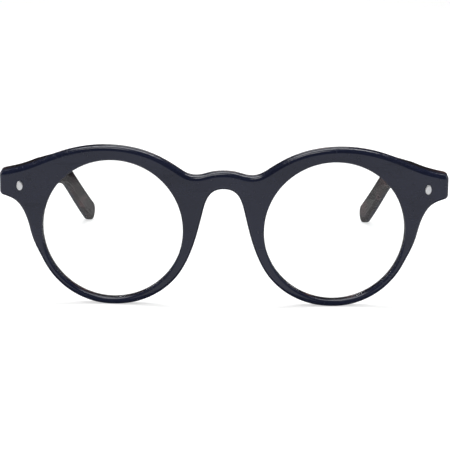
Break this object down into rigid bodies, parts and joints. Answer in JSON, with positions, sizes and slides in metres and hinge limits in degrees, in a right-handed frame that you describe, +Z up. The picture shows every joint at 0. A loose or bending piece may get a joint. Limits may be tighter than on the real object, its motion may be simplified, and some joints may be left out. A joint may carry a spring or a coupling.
{
  "type": "eyeglasses",
  "caption": "Round acetate eyeglasses with an arched bridge, clear lenses and temples that fold on small barrel hinges.",
  "frame": {"origin": "on the table, centred under the open pair, midway between the front and the temple tips", "axes": "+Z up, front faces -Y, temples run towards +Y, wearer's left at +X"},
  "size_m": [0.1426, 0.1452, 0.0516],
  "materials": {
    "navy_acetate": "polished dark navy acetate",
    "tortoise_acetate": "polished dark tortoise acetate",
    "nose_pad": "polished acetate",
    "lens": "clear plastic lens, polished",
    "stud": "polished silver",
    "hinge_metal": "fine brushed nickel silver"
  },
  "bodies": {
    "front": {"front_outer_layer": "navy_acetate", "front_inner_layer": "tortoise_acetate", "lens_left": "lens", "nose_pad_left": "nose_pad", "end_piece_stud_left": "stud", "hinge_front_leaf_left": "hinge_metal", "hinge_screw_left": "hinge_metal", "lens_right": "lens", "nose_pad_right": "nose_pad", "end_piece_stud_right": "stud", "hinge_front_leaf_right": "hinge_metal", "hinge_screw_right": "hinge_metal"},
    "temple_left": {"temple_outer_layer_left": "navy_acetate", "temple_inner_layer_left": "tortoise_acetate", "temple_core_left": "hinge_metal", "hinge_temple_leaf_left": "hinge_metal"},
    "temple_right": {"temple_outer_layer_right": "navy_acetate", "temple_inner_layer_right": "tortoise_acetate", "temple_core_right": "hinge_metal", "hinge_temple_leaf_right": "hinge_metal"}
  },
  "joints": [
    {"name": "temple_left_fold", "type": "hinge", "parent": "front", "child": "temple_left", "pos_m": [0.0657, -0.06053, 0.0382], "axis": [0, 0, 1], "range_deg": [0, 85]},
    {"name": "temple_right_fold", "type": "hinge", "parent": "front", "child": "temple_right", "pos_m": [-0.0657, -0.06053, 0.0382], "axis": [0, 0, -1], "range_deg": [0, 79]}
  ]
}
